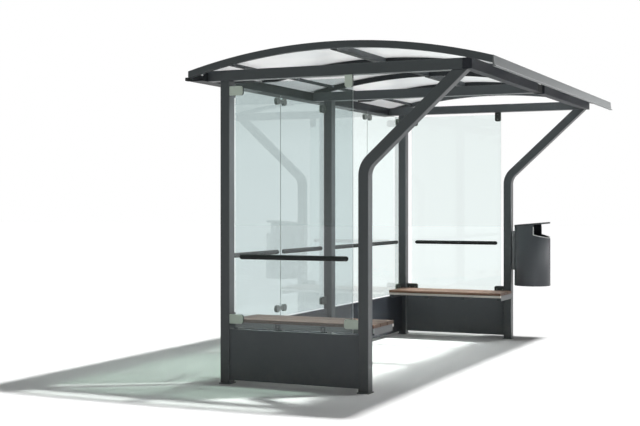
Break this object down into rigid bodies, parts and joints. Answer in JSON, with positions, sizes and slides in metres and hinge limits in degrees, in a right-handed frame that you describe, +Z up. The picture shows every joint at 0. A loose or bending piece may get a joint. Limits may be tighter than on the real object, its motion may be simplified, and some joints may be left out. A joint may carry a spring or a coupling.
{
  "type": "bus shelter",
  "caption": "Open steel bus shelter with a barrel-vault roof on cantilever arms, glass end and rear walls, wooden benches and a post-mounted litter bin.",
  "frame": {"origin": "on the ground under the middle of the roof", "axes": "+X along the length of the shelter, +Y towards the rear glass wall, -Y to the open street side, +Z up"},
  "size_m": [4.177, 2.464, 2.5628],
  "materials": {
    "frame_paint": "anthracite powder coat, satin",
    "panel_paint": "anthracite powder coat on folded sheet",
    "fascia_metal": "light grey satin paint",
    "gutter_metal": "anthracite powder coat, satin",
    "black_plastic": "black moulded plastic",
    "roof_sheet": "clear to opal roof sheet",
    "safety_glass": "green-tinted toughened glass",
    "clamp_metal": "cast clamp, grey paint",
    "fitting_metal": "satin stainless steel",
    "rail_paint": "black satin paint",
    "bench_wood": "oiled hardwood slats",
    "seat_frame_metal": "galvanised steel",
    "bin_paint": "anthracite powder coat, satin",
    "bin_trim_paint": "anthracite powder coat, satin"
  },
  "bodies": {
    "root": {"rear_post_near": "frame_paint", "rear_post_middle": "frame_paint", "rear_post_far": "frame_paint", "front_post_near": "frame_paint", "front_post_far": "frame_paint", "foot_plates": "frame_paint", "cross_beam_near": "frame_paint", "cross_beam_middle": "frame_paint", "cross_beam_far": "frame_paint", "front_beam": "frame_paint", "front_beam_splice": "black_plastic", "gable_rib_near": "frame_paint", "gable_rib_far": "frame_paint", "roof_ribs": "frame_paint", "roof_panel_1": "roof_sheet", "roof_panel_2": "roof_sheet", "roof_panel_3": "roof_sheet", "roof_panel_4": "roof_sheet", "mid_purlin": "frame_paint", "rear_purlin": "frame_paint", "rear_gutter": "gutter_metal", "gutter_end_caps": "black_plastic", "front_fascia": "fascia_metal", "end_glass_near": "safety_glass", "end_glass_far": "safety_glass", "rear_glass_1": "safety_glass", "rear_glass_2": "safety_glass", "rear_glass_3": "safety_glass", "rear_glass_4": "safety_glass", "end_panel_near": "panel_paint", "end_panel_far": "panel_paint", "rear_panel_1": "panel_paint", "rear_panel_2": "panel_paint", "end_glass_clamps": "clamp_metal", "rear_glass_clamps": "clamp_metal", "patch_fittings": "fitting_metal", "end_handrails": "rail_paint", "rear_handrails": "rail_paint", "bench_slats_near": "bench_wood", "bench_slats_far": "bench_wood", "bench_rails": "seat_frame_metal", "bench_brackets": "frame_paint", "bin_body": "bin_paint", "bin_lid": "bin_trim_paint", "bin_bracket": "bin_trim_paint"}
  },
  "joints": []
}
